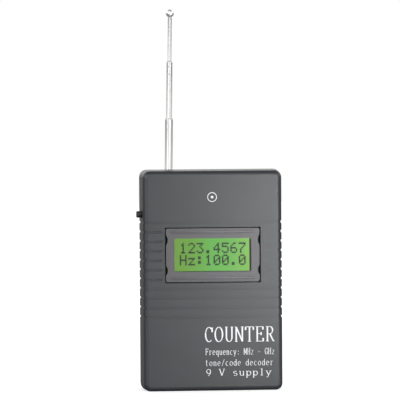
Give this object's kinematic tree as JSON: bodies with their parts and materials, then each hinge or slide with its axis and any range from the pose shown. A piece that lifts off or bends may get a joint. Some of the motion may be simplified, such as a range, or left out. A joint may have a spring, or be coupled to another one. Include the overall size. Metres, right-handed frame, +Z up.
{
  "type": "frequency counter",
  "caption": "Hand-held radio frequency counter: ribbed two-shell case, backlit character display, telescopic antenna, side push button and a sliding door over a block battery.",
  "frame": {"origin": "on the case's flat bottom face, midway across its width and its depth", "axes": "+Z up along the case's height and the antenna, -Y out of the display's face, +X to the right seen from the front"},
  "size_m": [0.0774, 0.026, 0.202],
  "materials": {
    "case_plastic": "fine moulded texture, charcoal",
    "zinc_screw": "zinc plated",
    "bezel_steel": "dark satin paint on pressed steel",
    "display_glass": "lit yellow-green behind a polariser",
    "light_guide": "milky acrylic",
    "zebra_rubber": "layered silicone",
    "board_laminate": "green solder mask",
    "chip_epoxy": "matt moulded epoxy",
    "crystal_can": "drawn nickel silver",
    "capacitor_sleeve": "shrunk sleeve",
    "trimmer_blue": "moulded",
    "button_plastic": "black moulded",
    "antenna_chrome": "bright plated",
    "bracket_brass": "soldered brass",
    "battery_jacket": "printed steel jacket",
    "terminal_nickel": "nickel plated",
    "snap_vinyl": "soft vinyl",
    "lead_red": "vinyl insulation",
    "lead_black": "vinyl insulation"
  },
  "bodies": {
    "case": {"front_shell": "case_plastic", "rear_shell": "case_plastic", "case_screw_1": "zinc_screw", "case_screw_2": "zinc_screw", "case_screw_3": "zinc_screw", "case_screw_4": "zinc_screw", "board_screw_1": "zinc_screw", "board_screw_2": "zinc_screw", "board_screw_3": "zinc_screw", "board_screw_4": "zinc_screw", "lcd_screw_1": "zinc_screw", "lcd_screw_2": "zinc_screw", "lcd_screw_3": "zinc_screw", "lcd_screw_4": "zinc_screw", "lcd_bezel": "bezel_steel", "lcd_glass": "display_glass", "lcd_backlight": "light_guide", "zebra_strip_upper": "zebra_rubber", "zebra_strip_lower": "zebra_rubber", "lcd_board": "board_laminate", "lcd_controller": "chip_epoxy", "lcd_pin_header": "chip_epoxy", "main_board": "board_laminate", "microcontroller": "chip_epoxy", "prescaler_chip": "chip_epoxy", "amplifier_chip": "chip_epoxy", "voltage_regulator": "chip_epoxy", "crystal": "crystal_can", "input_capacitor": "capacitor_sleeve", "output_capacitor": "capacitor_sleeve", "contrast_trimmer": "trimmer_blue", "switch_body": "button_plastic", "antenna_base_tube": "antenna_chrome", "antenna_bracket_lower": "bracket_brass", "antenna_bracket_upper": "bracket_brass", "battery": "battery_jacket", "battery_positive_terminal": "terminal_nickel", "battery_negative_terminal": "terminal_nickel", "battery_snap": "snap_vinyl", "battery_lead_red": "lead_red", "battery_lead_black": "lead_black"},
    "door": {"battery_door": "case_plastic"},
    "button": {"side_button": "button_plastic"},
    "antenna_lower": {"antenna_lower_section": "antenna_chrome"},
    "antenna_middle": {"antenna_middle_section": "antenna_chrome"},
    "antenna_tip": {"antenna_tip_rod": "antenna_chrome", "antenna_tip_ball": "antenna_chrome"}
  },
  "joints": [
    {"name": "door_slide", "type": "slide", "parent": "case", "child": "door", "axis": [0, 0, -1], "range_m": [0, 0.034]},
    {"name": "button_press", "type": "slide", "parent": "case", "child": "button", "axis": [1, 0, 0], "range_m": [0, 0.0003], "stiffness_N_per_m": 800},
    {"name": "antenna_lower_slide", "type": "slide", "parent": "case", "child": "antenna_lower", "axis": [0.0148, 0, 0.9999], "range_m": [-0.0251, 0]},
    {"name": "antenna_middle_slide", "type": "slide", "parent": "antenna_lower", "child": "antenna_middle", "axis": [0.0148, 0, 0.9999], "range_m": [-0.0284, 0]},
    {"name": "antenna_tip_slide", "type": "slide", "parent": "antenna_middle", "child": "antenna_tip", "axis": [0.0148, 0, 0.9999], "range_m": [-0.0215, 0]}
  ]
}
